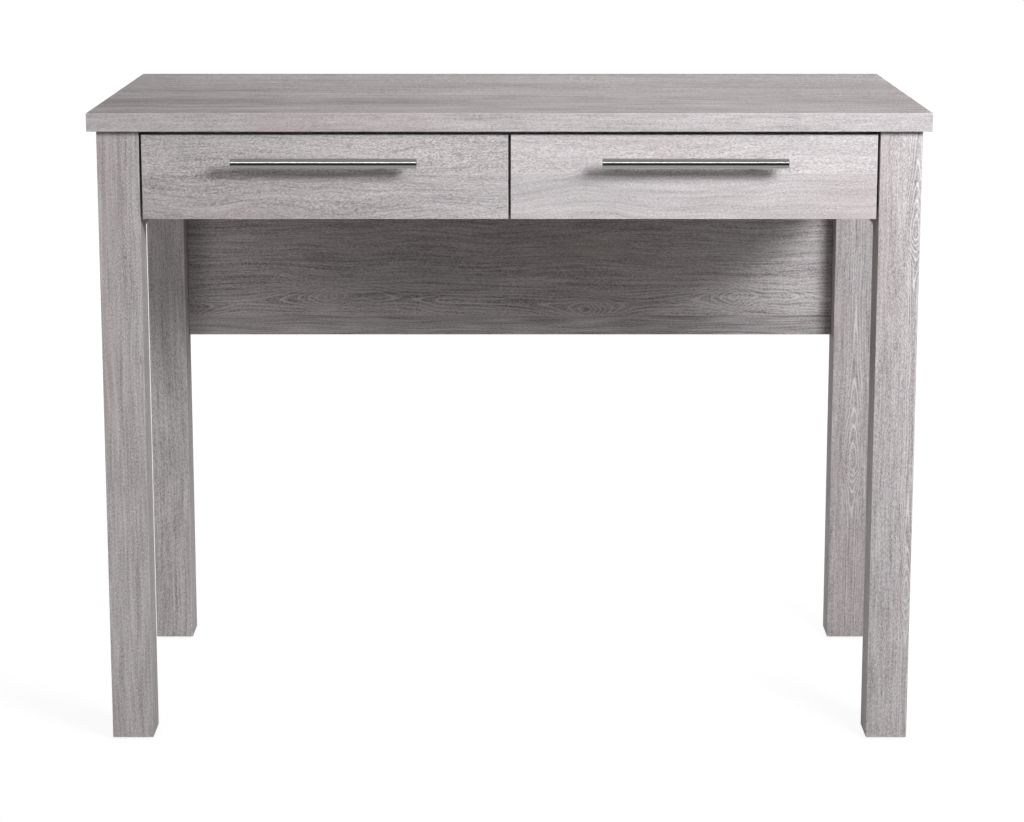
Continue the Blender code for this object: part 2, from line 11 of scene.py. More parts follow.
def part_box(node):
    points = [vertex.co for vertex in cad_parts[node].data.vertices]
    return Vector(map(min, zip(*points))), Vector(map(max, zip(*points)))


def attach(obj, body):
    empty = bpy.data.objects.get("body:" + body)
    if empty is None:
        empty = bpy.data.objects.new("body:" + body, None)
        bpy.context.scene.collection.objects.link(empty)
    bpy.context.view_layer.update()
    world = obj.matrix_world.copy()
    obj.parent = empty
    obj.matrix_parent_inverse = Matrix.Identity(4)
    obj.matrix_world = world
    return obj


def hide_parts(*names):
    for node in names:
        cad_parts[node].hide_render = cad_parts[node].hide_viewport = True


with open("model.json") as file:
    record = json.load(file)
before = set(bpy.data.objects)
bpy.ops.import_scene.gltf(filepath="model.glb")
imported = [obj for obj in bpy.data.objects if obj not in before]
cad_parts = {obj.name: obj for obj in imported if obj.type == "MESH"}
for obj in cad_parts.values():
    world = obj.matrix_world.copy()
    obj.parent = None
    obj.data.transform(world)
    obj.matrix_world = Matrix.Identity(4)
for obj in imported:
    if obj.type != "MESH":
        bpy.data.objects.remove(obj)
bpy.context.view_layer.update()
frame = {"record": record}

# --- Sizes, in metres ---

GAP = 0.0003  # between pieces that touch
CUT_MARGIN = 0.01  # how far a cutting tool runs past what it cuts

BOARD_ROUND = 0.0007  # radii of the boards' edges
FRONT_ROUND = 0.0006
LEG_ROUND = 0.0009
LINER_ROUND = 0.0008
THIN_ROUND = 0.0003
ROUND_STEPS = 3
SHARP_ANGLE = math.radians(42)

BAR_SEGMENTS = 64  # round a turned shape
ROLLER_SEGMENTS = 48
SEGMENTS = 40
SCREW_SEGMENTS = 28

BAR_ROUND = 0.0007
POST_ROUND = 0.0006
HANDLE_HOLE = 0.0023  # radius, through a drawer front
HANDLE_SCREW_HEAD = 0.0024  # height
HANDLE_SCREW_SHANK = 0.0019  # radius
THREAD_PITCH = 0.0007
THREAD_DEPTH = 0.00022

SHEET = 0.0012  # runner steel
SHEET_BEND = 0.0013  # radius of a bend, at the middle of the sheet
CHANNEL_REACH = 0.0100  # from the carcass to the channel's lips
CHANNEL_DROP = 0.0010  # from the top of a cabinet roller to the top of its channel
CHANNEL_NOTCH = 0.0030  # the cut in the channel's top runs this far past the roller
FLANGE_REACH = 0.0020  # from the carcass to the edge of the drawer runner's flange
SKIRT_DROP = 0.0060  # from a drawer roller's axis to the runner's lower edge
RUNNER_SPACE = 0.0125  # from the carcass to the drawer side
RIVET_RADIUS = 0.0020
RIVET_HEAD_RADIUS = 0.0035
RIVET_HEAD = 0.0008
SLOT_SPOTS = (0.31, 0.68)  # shares of a runner's length
SCREW_SPOTS = (0.12, 0.50, 0.86)
SLOT_RADIUS = 0.0022
SLOT_LENGTH = 0.014
PAN_HEAD_RADIUS = 0.0036
PAN_HEAD_HEIGHT = 0.0012
PAN_SHANK = 0.0014  # radius
PAN_LENGTH = 0.0018  # of the part of a runner screw that shows

ROLLER_ROUND = 0.0008
ROLLER_BORE = 0.0023  # radius
ROLLER_HUB = 0.0040  # radius of the boss round the bore
ROLLER_TREAD = 0.0069  # inner radius of the ring that carries the tread
ROLLER_DISH = 0.0008  # depth of the groove between the two

CAM_DISH = 0.0007  # depth of a cam's face below its rim
CAM_ROUND = 0.0005
CAM_SLOT = 0.0007  # half the width of its cross slot
CAM_SLOT_DEPTH = 0.0028

GLIDE_ROUND = 0.0012
NAIL_RADIUS = 0.0018
NAIL_RECESS = 0.0010

# --- Camera: in front of the desk and a little above its top, looking slightly down ---

CAMERA_DISTANCE = 3.15  # in front of the desktop's front edge
CAMERA_X = 0.0042
CAMERA_Z = 1.1184
CAMERA_PITCH = math.radians(10.558)
CAMERA_LENS = 94.17
CAMERA_SHIFT_X = -0.001
CAMERA_SHIFT_Y = -0.09

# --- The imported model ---

BODY_OF = {
    node: body
    for body, nodes in frame["record"]["behaviour"]["bodies"].items()
    for node in nodes
}
SIDES = {"left": -1, "right": 1}  # and which way along X each side lies


def box_of(node):
    """A node's lowest corner, its highest corner and the middle between them."""
    low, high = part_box(node)
    return low, high, (low + high) / 2


# --- Shader building ---


def operator(kind, swapped=False):
    """A method of Value that adds a Math node of this kind."""

    def method(self, other=0.0):
        first, second = (other, self) if swapped else (self, other)
        return self.shader.math(kind, first, second)

    return method


class Value:
    """A node's output. Arithmetic on it adds Math nodes to its shader."""

    def __init__(self, shader, socket):
        self.shader = shader
        self.socket = socket

    __add__ = operator("ADD")
    __sub__ = operator("SUBTRACT")
    __rsub__ = operator("SUBTRACT", swapped=True)
    __mul__ = operator("MULTIPLY")
    __truediv__ = operator("DIVIDE")
    __pow__ = operator("POWER")
    __abs__ = operator("ABSOLUTE")
    least = operator("MINIMUM")
    most = operator("MAXIMUM")
    over = operator("GREATER_THAN")
    fraction = operator("FRACT")
    root = operator("SQRT")
    exp = operator("EXPONENT")

    def rise(self, start, end):
        """0 before start and 1 past end, with a smooth rise or fall between them."""
        low, high = min(start, end), max(start, end)
        inputs = {"Value": self, "From Min": low, "From Max": high}
        inputs["To Min"], inputs["To Max"] = (0.0, 1.0) if start < end else (1.0, 0.0)
        kind = "ShaderNodeMapRange"
        return self.shader.made(kind, "Result", inputs, interpolation_type="SMOOTHSTEP")


class Nodes:
    """A node tree under construction."""

    def __init__(self, tree):
        self.tree = tree

    def feed(self, socket, value):
        """Links a value to a socket, or sets the socket to a number, a vector or a colour."""
        if isinstance(value, Value):
            self.tree.links.new(value.socket, socket)
        elif socket.type == "RGBA":
            socket.default_value = (*value, 1.0)
        else:
            socket.default_value = value

    def made(self, kind, output, inputs, **settings):
        """The output of a new node with these inputs and settings."""
        node = self.tree.nodes.new(kind)
        for key, value in settings.items():
            setattr(node, key, value)
        for key, value in inputs.items():
            self.feed(node.inputs[key], value)
        return Value(self, node.outputs[output])

    def math(self, operation, a, b=0.0):
        return self.made("ShaderNodeMath", 0, {0: a, 1: b}, operation=operation)

    def constant(self, number):
        """A number to which values are added."""
        made = self.made("ShaderNodeValue", 0, {})
        made.socket.default_value = number
        return made

    def by_eye(self, seen, lighting):
        """Mixes two shaders: one for what the eye sees, one for the light that the desk gets."""
        eye = self.made("ShaderNodeLightPath", "Is Camera Ray", {})
        return self.made("ShaderNodeMixShader", 0, {0: eye, 1: lighting, 2: seen})


class Shader(Nodes):
    """A material under construction. place is a point of the object in the row frame."""

    def __init__(self, name, metallic=0.0):
        self.material = bpy.data.materials.new(name)
        self.material.use_nodes = True
        super().__init__(self.material.node_tree)
        self.principled = self.tree.nodes["Principled BSDF"]
        self.principled.inputs["Metallic"].default_value = metallic
        self.place = self.made("ShaderNodeTexCoord", "Object", {})

    def along(self, axes):
        """The point's coordinates in the order of these axes."""
        node = self.tree.nodes.new("ShaderNodeSeparateXYZ")
        self.feed(node.inputs[0], self.place)
        return [Value(self, node.outputs[axis]) for axis in axes]

    def join(self, *parts):
        return self.made("ShaderNodeCombineXYZ", 0, dict(enumerate(parts)))

    def scaled(self, place, waves, shift=0.0):
        location = (shift, shift * 1.7, shift * 2.3)
        inputs = {"Vector": place, "Scale": waves, "Location": location}
        return self.made("ShaderNodeMapping", 0, inputs)

    def noise(self, place, waves, detail=2.0, shift=0.0, rough=0.5):
        """Noise about 0.5, with this many waves a metre along each axis."""
        place = self.scaled(place, waves, shift)
        inputs = {"Vector": place, "Scale": 1.0, "Detail": detail, "Roughness": rough}
        return self.made("ShaderNodeTexNoise", "Fac", inputs)

    def cells(self, place, waves, output="Distance"):
        inputs = {"Vector": self.scaled(place, waves), "Scale": 1.0}
        return self.made("ShaderNodeTexVoronoi", output, inputs)

    def blend(self, share, a, b):
        """Colour a where share is 0 and colour b where it is 1."""
        return self.made("ShaderNodeMix", 2, {0: share, 6: a, 7: b}, data_type="RGBA")

    def edge_distance(self, low, high):
        """How far a point on a box is from the box's nearest edge."""
        middle = (low + high) / 2
        half = (high - low) / 2
        parts = self.along("XYZ")
        inside = [abs(part - middle[i]) * -1.0 + half[i] for i, part in enumerate(parts)]
        first, second, third = inside
        return first.most(second).least(first.least(second).most(third))

    def finish(self, colour, roughness, height, depth, strength=1.0):
        """Feeds the surface. depth is the relief in metres where height goes from 0 to 1."""
        self.feed(self.principled.inputs["Base Color"], colour)
        self.feed(self.principled.inputs["Roughness"], roughness)
        inputs = {"Distance": depth, "Strength": strength, "Height": height}
        bump = self.made("ShaderNodeBump", "Normal", inputs)
        self.feed(self.principled.inputs["Normal"], bump)
        return self.material


# --- Materials ---

# Linear colours of the print, darkest and lightest first. The last is the lighter edge colour: real wear
# and a painted edge highlight.
OAK_DARK = (0.135, 0.118, 0.119)
OAK_LIGHT = (0.662, 0.616, 0.619)
OAK_MAUVE = (0.440, 0.365, 0.362)
OAK_GREEN = (0.385, 0.398, 0.386)
OAK_KNOT = (0.260, 0.175, 0.140)
OAK_WORN_AND_HIGHLIGHT = (0.640, 0.612, 0.612)
# For the others, the darkest and lightest colour, then what lies over them in places.
CHIP = ((0.36, 0.25, 0.155), (0.58, 0.44, 0.30))
CHIP_DUST = (0.20, 0.13, 0.08)
FOIL = ((0.440, 0.425, 0.415), (0.600, 0.585, 0.575))
FOIL_CLOUD = (0.50, 0.475, 0.46)
FOIL_WORN = (0.72, 0.70, 0.68)
PAINT = ((0.50, 0.485, 0.47), (0.62, 0.605, 0.59))
PAINT_CLOUD = (0.46, 0.44, 0.42)
PAINT_SCRATCH = (0.70, 0.69, 0.67)
PULP = ((0.20, 0.125, 0.07), (0.36, 0.24, 0.145))
STEEL = ((0.62, 0.625, 0.61), (0.78, 0.785, 0.77))
STEEL_CLOUD = (0.64, 0.63, 0.61)
ZINC = ((0.44, 0.45, 0.46), (0.62, 0.63, 0.64))
ZINC_YELLOW = (0.58, 0.54, 0.42)
ENAMEL = ((0.76, 0.765, 0.75), (0.84, 0.84, 0.82))
ENAMEL_RUBBED = (0.48, 0.48, 0.48)
NYLON = ((0.78, 0.765, 0.71), (0.86, 0.85, 0.80))
NYLON_STAIN = (0.58, 0.56, 0.51)
PLASTIC = ((0.030, 0.030, 0.031), (0.14, 0.135, 0.13))

PLANK_STEP = 0.467  # how far the print of one plank is shifted from the next, along the grain
PLANK_DEPTH = 0.151  # and into it
PLANK_CONTRAST = 0.09  # how much lighter the upper plank is
OAK_MIDDLE = 0.57  # the print's middle tone, from OAK_DARK at 0 to OAK_LIGHT at 1


def ring_field(s, along, across, figure):
    """Growth rings round the hearts of a figure: the ring number, where it shows, and the grain's bend.

    figure is (centre, spacing, height, hearts) and a heart is (along, before, after, rings, lift):
    its rings reach one length before it and another after it, along the grain.
    """
    centre, spacing, height, hearts = figure
    count = s.constant(0.0)
    middle = s.constant(centre)
    for heart, before, after, rings, lift in hearts:
        side = along - heart
        reach = side.most(0.0) / after - side.least(0.0) / before
        count = count + ((reach * reach + 0.49).root() * -1.0 + 0.7).exp() * rings
        if lift:
            middle = middle + ((side / 0.06) ** 2.0 * -1.0).exp() * lift
    off = across - middle
    bent = (off * off + (1.3 * spacing) ** 2).root()
    shows = ((off / height) ** 2.0 * -1.0).exp()
    return bent / spacing - count, shows, count * spacing * off / bent


# The print's layers: waves a metre along and across the grain, detail, shift, roughness and the ends
# of a rise, if it has one. All but the one-sided layers lie about 0.
LAYERS = {
    "cloud": (2.5, 8, 1.0, 43.0, 0.5, ()),
    "broad": (1.2, 24, 2.0, 1.0, 0.5, ()),
    "middle": (3.2, 95, 2.0, 5.0, 0.5, ()),
    "vein": (13, 150, 1.0, 47.0, 0.5, (0.30, 0.70)),
    "thread": (16, 430, 2.0, 37.0, 0.5, (0.30, 0.70)),
    "dash": (370, 1250, 1.0, 14.0, 0.6, (0.34, 0.66)),
    "fibre": (500, 2400, 1.0, 19.0, 0.5, ()),
    "streak": (6, 300, 2.0, 9.0, 0.5, (0.48, 0.30)),
    "pores": (320, 1300, 1.0, 23.0, 0.5, (0.58, 0.70)),
    "flecks": (350, 1200, 1.0, 29.0, 0.5, (0.58, 0.72)),
}
ONE_SIDED = ("streak", "pores", "flecks")


def print_layers(s, grain):
    layers = {}
    for name, (along, across, detail, shift, rough, rise) in LAYERS.items():
        layer = s.noise(grain, (along, across, across), detail, shift, rough)
        if rise:
            layer = layer.rise(*rise)
        layers[name] = layer if name in ONE_SIDED else layer - 0.5
    return layers


def oak(
    name, axes, cut, box, tone=0.0, contrast=1.0, streaks=1.0, waves=0.5, seams=(), figures=(), knots=()
):
    """Printed and embossed grey oak.

    axes names the axis along the grain, the one across it and the depth. cut says which piece of
    the print it is, and box is the board's. A seam is a place across the grain where two printed
    planks meet. Figures are as ring_field takes them and show above the last seam. A knot is
    (along, across, length, width, strength).
    """
    s = Shader(name)
    along, across, depth = s.along(axes)
    u = along + cut * 0.731
    w = depth + cut * 0.217
    plank_tone = s.constant(tone)
    seam_line = s.constant(0.0)
    figured = s.constant(1.0)
    coarse = s.constant(1.0)
    for seam in seams:
        upper = across.over(seam)
        u = u + upper * PLANK_STEP
        w = w + upper * PLANK_DEPTH
        plank_tone = plank_tone + (upper - 0.5) * PLANK_CONTRAST
        seam_line = seam_line + abs(across - seam).rise(0.0009, 0.0003)
        figured = upper
        coarse = coarse * (upper * 0.35 + 0.85)

    flat = s.join(u, across, w)
    swell = s.noise(flat, (5, 9, 9), detail=1.0) - 0.5
    ripple = s.noise(flat, (26, 60, 60), detail=1.0, shift=3.0) - 0.5
    drift = s.noise(flat, (30, 90, 90), detail=1.0, shift=41.0) - 0.5
    v = across + swell * (0.045 * waves) + ripple * (0.0045 * waves)
    shade = s.constant(0.0)
    lines = s.constant(0.0)
    for figure in figures:
        rings, shows, bend = ring_field(s, along + drift * 0.010, across + ripple * 0.004, figure)
        shows = shows * figured
        v = v - shows * bend * 0.12
        band = abs(rings.fraction() - 0.5)
        shade = shade + (0.25 - band) * shows
        lines = lines + band.rise(0.35, 0.46) * shows

    grain = s.join(u, v, w)
    layer = print_layers(s, grain)
    lengths = layer["broad"] * 0.36 + layer["middle"] * 0.28 + layer["vein"] * 0.16
    lengths = (lengths + layer["thread"] * 0.34 - layer["streak"] * 0.20) * streaks
    shorts = layer["dash"] * 0.42 + layer["fibre"] * 0.20 - layer["pores"] * 0.24
    shorts = (shorts + layer["flecks"] * 0.22) * contrast * coarse
    light = lengths + shorts + layer["cloud"] * 0.30 + plank_tone + OAK_MIDDLE
    light = light + lines * 0.62 - shade * 0.20 + seam_line * 0.12
    colour = s.blend(light.most(0.0).least(1.0), OAK_DARK, OAK_LIGHT)
    warm = s.noise(grain, (3.1, 17, 17), shift=53.0)
    colour = s.blend(warm.rise(0.50, 0.68) * 0.27, colour, OAK_MAUVE)
    colour = s.blend(warm.rise(0.46, 0.30) * 0.14, colour, OAK_GREEN)
    for k_along, k_across, length, width, strength in knots:
        square = ((along - k_along) / length) ** 2.0 + ((v - k_across) / width) ** 2.0
        square = square + ripple * 0.8
        colour = s.blend(square.rise(1.0, 0.05) * strength, colour, OAK_KNOT)
    # Lighter edges: partly real wear, partly a painted highlight where light would catch the rounded
    # edges.
    scuff = s.noise(s.place, (60, 60, 60), shift=61.0).rise(0.42, 0.62)
    wear = s.edge_distance(*box).rise(0.0016, 0.0003) * (scuff * 0.6 + 0.25)
    colour = s.blend(wear * 0.45, colour, OAK_WORN_AND_HIGHLIGHT)
    height = layer["dash"] * 0.8 + layer["flecks"] * 0.3 - layer["pores"] * 0.7
    height = height - layer["streak"] * 0.4 + lines * 0.3
    roughness = layer["dash"] * 0.08 + layer["pores"] * 0.12 + layer["fibre"] * 0.2 + 0.47
    s.principled.inputs["Specular IOR Level"].default_value = 0.42
    return s.finish(colour, roughness, height, depth=0.00016 * contrast)


def chipboard(name):
    """The raw core of a board: pressed chips and dust."""
    s = Shader(name)
    waves = (420, 420, 900)
    chips = s.cells(s.place, waves, output="Color")
    tint = s.made("ShaderNodeSeparateXYZ", "X", {0: chips})
    dust = s.noise(s.place, (1600, 1600, 1600))
    colour = s.blend(tint, *CHIP)
    colour = s.blend(dust.rise(0.52, 0.66) * 0.5, colour, CHIP_DUST)
    edges = s.cells(s.place, waves)
    return s.finish(colour, dust * 0.2 + 0.75, edges * 0.6 + dust, depth=0.0002)


def liner(name, axes, box):
    """Pale grey foil on the drawer boards, embossed with fine crossed threads."""
    s = Shader(name)
    grain = s.join(*s.along(axes))
    long_threads = s.noise(grain, (60, 1500, 1500), detail=1.0, shift=2.0)
    short_threads = s.noise(grain, (1500, 110, 110), detail=1.0, shift=6.0)
    cloud = s.noise(grain, (6, 18, 18), detail=3.0, shift=8.0)
    weave = long_threads * 0.5 + short_threads * 0.5
    colour = s.blend(weave.rise(0.36, 0.62), *FOIL)
    colour = s.blend(cloud.rise(0.40, 0.70) * 0.25, colour, FOIL_CLOUD)
    wear = s.edge_distance(*box).rise(0.0018, 0.0003) * cloud.rise(0.40, 0.58)
    colour = s.blend(wear * 0.4, colour, FOIL_WORN)
    return s.finish(colour, weave * 0.2 + 0.48, weave, depth=0.00008)


def hardboard_face(name):
    """The painted upper face of a drawer bottom: a pale film over pressed fibre."""
    s = Shader(name)
    fibre = s.noise(s.place, (500, 700, 500), detail=4.0, shift=3.0)
    cloud = s.noise(s.place, (9, 7, 9), detail=3.0, shift=9.0)
    scratch = s.noise(s.place, (6, 900, 6), shift=15.0).rise(0.66, 0.74)
    colour = s.blend(fibre.rise(0.3, 0.7), *PAINT)
    colour = s.blend(cloud.rise(0.42, 0.66) * 0.3, colour, PAINT_CLOUD)
    colour = s.blend(scratch * 0.25, colour, PAINT_SCRATCH)
    return s.finish(colour, cloud * 0.2 + 0.42, fibre - scratch * 0.3, depth=0.00008)


def hardboard_back(name):
    """The raw screened underside of a drawer bottom."""
    s = Shader(name)
    across = s.noise(s.place, (900, 60, 900), detail=1.0)
    along = s.noise(s.place, (60, 900, 900), detail=1.0, shift=5.0)
    mesh = across * 0.5 + along * 0.5
    fibre = s.noise(s.place, (350, 500, 350), detail=4.0, shift=7.0)
    colour = s.blend(fibre.rise(0.3, 0.7), *PULP)
    return s.finish(colour, mesh * 0.2 + 0.70, mesh + fibre * 0.5, depth=0.00025)


def satin_steel(name):
    """Brushed stainless steel, drawn along X."""
    s = Shader(name, metallic=1.0)
    brush = s.noise(s.place, (14, 5200, 5200), shift=4.0)
    cloud = s.noise(s.place, (40, 90, 90), shift=8.0)
    colour = s.blend(brush.rise(0.3, 0.7), *STEEL)
    colour = s.blend(cloud.rise(0.5, 0.75) * 0.25, colour, STEEL_CLOUD)
    return s.finish(colour, cloud * 0.06 + brush * 0.04 + 0.11, brush, depth=0.000002, strength=0.4)


def zinc(name):
    """Bright plated or cast zinc with a fine speckle."""
    s = Shader(name, metallic=1.0)
    speckle = s.noise(s.place, (2200, 2200, 2200))
    cloud = s.noise(s.place, (260, 260, 260), shift=6.0)
    colour = s.blend(cloud.rise(0.3, 0.7), *ZINC)
    colour = s.blend(cloud.rise(0.62, 0.8) * 0.4, colour, ZINC_YELLOW)
    return s.finish(colour, speckle * 0.2 + 0.28, speckle, depth=0.00003)


def enamel(name, box):
    """White baked enamel over steel, with an orange-peel skin and rubbed edges."""
    s = Shader(name)
    peel = s.noise(s.place, (700, 450, 700))
    cloud = s.noise(s.place, (30, 12, 30), detail=3.0, shift=5.0)
    rubbed = s.noise(s.place, (900, 26, 900), shift=11.0).rise(0.58, 0.70)
    colour = s.blend(cloud.rise(0.35, 0.7), *ENAMEL)
    wear = s.edge_distance(*box).rise(0.0016, 0.0002) * rubbed
    colour = s.blend(rubbed * 0.16 + wear * 0.4, colour, ENAMEL_RUBBED)
    s.principled.inputs["Coat Weight"].default_value = 0.2
    return s.finish(colour, cloud * 0.15 + rubbed * 0.15 + 0.25, peel, depth=0.00003)


def nylon(name):
    """Off-white moulded nylon, a little translucent, with a fine skin and grease stains."""
    s = Shader(name)
    cloud = s.noise(s.place, (240, 240, 240), detail=3.0)
    skin = s.noise(s.place, (2600, 2600, 2600), shift=3.0)
    colour = s.blend(cloud.rise(0.3, 0.7), *NYLON)
    colour = s.blend(cloud.rise(0.60, 0.8) * 0.3, colour, NYLON_STAIN)
    s.principled.inputs["Subsurface Weight"].default_value = 0.15
    s.principled.inputs["Subsurface Scale"].default_value = 0.002
    return s.finish(colour, cloud * 0.2 + 0.33, skin, depth=0.00002)


def black_plastic(name):
    """Moulded black plastic with a spark-eroded grain and dust in it."""
    s = Shader(name)
    grain = s.noise(s.place, (1500, 1500, 1500), detail=3.0)
    dust = s.noise(s.place, (180, 180, 180), detail=3.0, shift=7.0).rise(0.50, 0.75)
    colour = s.blend(dust * 0.5, *PLASTIC)
    return s.finish(colour, grain * 0.3 + 0.38, grain, depth=0.00006)


# --- Mesh building ---


def mesh_from(shape, name, material_index=None):
    """A mesh of what bmesh holds, with its faces turned outwards."""
    if material_index is not None:
        for face in shape.faces:
            face.material_index = material_index
    bmesh.ops.recalc_face_normals(shape, faces=shape.faces[:])
    mesh = bpy.data.meshes.new(name)
    shape.to_mesh(mesh)
    shape.free()
    return mesh


def box_shape(low, high):
    low = Vector(low)
    high = Vector(high)
    shape = bmesh.new()
    matrix = Matrix.Translation((low + high) / 2) @ Matrix.Diagonal((*(high - low), 1))
    bmesh.ops.create_cube(shape, size=1.0, matrix=matrix)
    return shape


def box_mesh(name, low, high, material_index=0):
    return mesh_from(box_shape(low, high), name, material_index)


def lathe_mesh(name, profile, place, direction, segments=SEGMENTS, material_index=0):
    """A profile of (radius, height) points turned about a direction. It closes where its radius is 0."""
    shape = bmesh.new()
    rings = []
    for radius, height in profile:
        if radius == 0:
            rings.append([shape.verts.new((0, 0, height))])
            continue
        angles = [2 * math.pi * i / segments for i in range(segments)]
        points = [(radius * math.cos(a), radius * math.sin(a), height) for a in angles]
        rings.append([shape.verts.new(point) for point in points])
    pairs = list(zip(rings, rings[1:]))
    if profile[0][0] > 0:
        pairs.append((rings[-1], rings[0]))
    for low, high in pairs:
        for i in range(segments):
            j = (i + 1) % segments
            corners = [low[i % len(low)], low[j % len(low)], high[j % len(high)], high[i % len(high)]]
            shape.faces.new(list(dict.fromkeys(corners)))
    turn = Vector(direction).to_track_quat("Z", "Y").to_matrix().to_4x4()
    bmesh.ops.transform(shape, matrix=Matrix.Translation(place) @ turn, verts=shape.verts[:])
    return mesh_from(shape, name, material_index)


def arc(centre, radius, start, end, steps):
    """Points on an arc, in degrees."""
    angles = [math.radians(start + (end - start) * i / steps) for i in range(steps + 1)]
    return [(centre[0] + radius * math.cos(a), centre[1] + radius * math.sin(a)) for a in angles]


def extruded_mesh(name, outline, reach):
    """A flat outline of points, extruded by the vector reach."""
    shape = bmesh.new()
    face = shape.faces.new([shape.verts.new(point) for point in outline])
    made = bmesh.ops.extrude_face_region(shape, geom=[face])
    moved = [v for v in made["geom"] if isinstance(v, bmesh.types.BMVert)]
    bmesh.ops.translate(shape, verts=moved, vec=reach)
    return mesh_from(shape, name)


def cross_tools(place, direction, first, length, width, depth):
    """Two crossed boxes for a driver's recess. One arm is along first, and the sizes are half sizes."""
    arms = []
    second = direction.cross(first)
    for long, short in ((first, second), (second, first)):
        reach = long * length + short * width + direction * depth
        reach = Vector([abs(v) for v in reach])
        arms.append(box_mesh("recess", place - reach, place + reach))
    return arms


def bent_outline(path, steps=5):
    """The outline of a bent sheet whose middle follows a path of (x, z) points."""
    points = [Vector(point) for point in path]
    directions = [(b - a).normalized() for a, b in zip(points, points[1:])]
    line = [(points[0], directions[0])]
    for corner, before, after in zip(points[1:-1], directions, directions[1:]):
        turn = before.angle_signed(after)
        back = SHEET_BEND * math.tan(abs(turn) / 2)
        place = corner - before * back
        for i in range(steps + 1):
            share = i / steps
            spin = Matrix.Rotation(-turn * share, 2)
            side = Vector((-before.y, before.x)) * (-1 if turn > 0 else 1)
            centre = place + side * SHEET_BEND
            line.append((centre + spin @ (place - centre), spin @ before))
    line.append((points[-1], directions[-1]))
    sides = []
    for hand in (1, -1):
        sides.append([p + Vector((-d.y, d.x)) * hand * SHEET / 2 for p, d in line])
    return sides[0] + sides[1][::-1]


def bent_sheet(name, path, start, end):
    """A bent sheet that runs along Y from start to end."""
    outline = [(x, 0, z) for x, z in bent_outline(path)]
    mesh = extruded_mesh(name, outline, (0, end - start, 0))
    mesh.transform(Matrix.Translation((0, start, 0)))
    return mesh


def new_object(name, data):
    obj = bpy.data.objects.new(name, data)
    bpy.context.scene.collection.objects.link(obj)
    return obj


def carved(mesh, tools, operation="DIFFERENCE"):
    """The mesh after tools are cut out of it or joined to it."""
    target = new_object("carved", mesh)
    helpers = [target]
    for tool in tools:
        helper = new_object("tool", tool)
        helpers.append(helper)
        modifier = target.modifiers.new("tool", "BOOLEAN")
        modifier.operation = operation
        modifier.object = helper
    graph = bpy.context.evaluated_depsgraph_get()
    made = bpy.data.meshes.new_from_object(target.evaluated_get(graph), depsgraph=graph)
    for helper in helpers:
        bpy.data.objects.remove(helper)
    return made


def piece(name, mesh, materials, nodes=(), body=None):
    """Shows a mesh, in place of CAD nodes if it stands for any."""
    for number, material in enumerate(materials):
        if number < len(mesh.materials):
            mesh.materials[number] = material
        else:
            mesh.materials.append(material)
    mesh.shade_smooth()
    mesh.set_sharp_from_angle(angle=SHARP_ANGLE)
    obj = new_object(name, mesh)
    weighted = obj.modifiers.new("flat_faces", "WEIGHTED_NORMAL")
    weighted.keep_sharp = True
    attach(obj, body or BODY_OF[nodes[0]])
    if nodes:
        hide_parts(*nodes)


# --- Boards ---

FACE, LONG_EDGE, END, CORE = range(4)  # material slots of a board

# Hearts of the printed ring figures, along the desk in metres, as ring_field takes them.
PRINT_REPEAT = 0.559  # after this length the printed figure comes again
EYE = ((-0.2506, 0.020, 0.010, 3.2, 0.0050), (-0.2506, 0.090, 0.050, 2.4, 0.0))
ARCHES = ((-0.0950, 0.014, 0.050, 1.2, 0.0),)
OVAL = ((0.1074, 0.018, 0.014, 2.4, -0.0110), (0.1000, 0.200, 0.030, 5.0, 0.0))
LENS = ((-0.1816, 0.014, 0.014, 0.9, 0.0060),)


def repeated(hearts, times):
    """The same hearts further along, by that many repeats of the print."""
    return tuple((heart[0] + times * PRINT_REPEAT, *heart[1:]) for heart in hearts)


PANEL_HEARTS = repeated(OVAL, -1) + EYE + LENS + ARCHES + OVAL + repeated(EYE, 1) + repeated(LENS, 1)
TOP_HEARTS = EYE + repeated(EYE, 1) + OVAL


def board_mesh(name, low, high, axes, radius):
    """A board with rounded edges. axes names its grain, width and thickness."""
    shape = box_shape(low, high)
    edges = shape.edges[:]
    bmesh.ops.bevel(
        shape, geom=edges, offset=radius, segments=ROUND_STEPS, profile=0.5, affect="EDGES"
    )
    grain, width, thickness = ("XYZ".index(axis) for axis in axes)
    shape.normal_update()
    for face in shape.faces:
        normal = face.normal
        if abs(normal[thickness]) > 0.95:
            face.material_index = FACE
        elif abs(normal[grain]) > abs(normal[width]):
            face.material_index = END
        else:
            face.material_index = LONG_EDGE
    return mesh_from(shape, name)


def cut_board(node, axes, radius, tools=()):
    """A board in a node's place, with its holes, pockets and grooves."""
    mesh = board_mesh(node, *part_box(node), axes, radius)
    return carved(mesh, tools) if tools else mesh


def turned(axes):
    """The same board's axes on its end band, whose grain runs across the board."""
    return axes[1] + axes[0] + axes[2]


def oak_board(
    node,
    axes,
    cut,
    radius=BOARD_ROUND,
    tools=(),
    raw_ends=False,
    edge_tone=0.03,
    edge_contrast=1.0,
    **print_settings,
):
    """A laminated board in place of a node. Its bands have the face's print, a little changed."""
    mesh = cut_board(node, axes, radius, tools)
    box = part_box(node)
    core = chipboard(node + "_core")
    edge_settings = {
        "tone": print_settings.get("tone", 0.0) + edge_tone,
        "contrast": print_settings.get("contrast", 1.0) * edge_contrast,
        "streaks": print_settings.get("streaks", 1.0) * edge_contrast,
    }
    edge = oak(node + "_edge", axes, cut + 0.37, box, **edge_settings)
    end = oak(node + "_end", turned(axes), cut + 0.71, box, **edge_settings)
    face = oak(node + "_face", axes, cut, box, **print_settings)
    materials = [face, edge, core if raw_ends else end, core]
    piece(node + "_board", mesh, materials, [node])


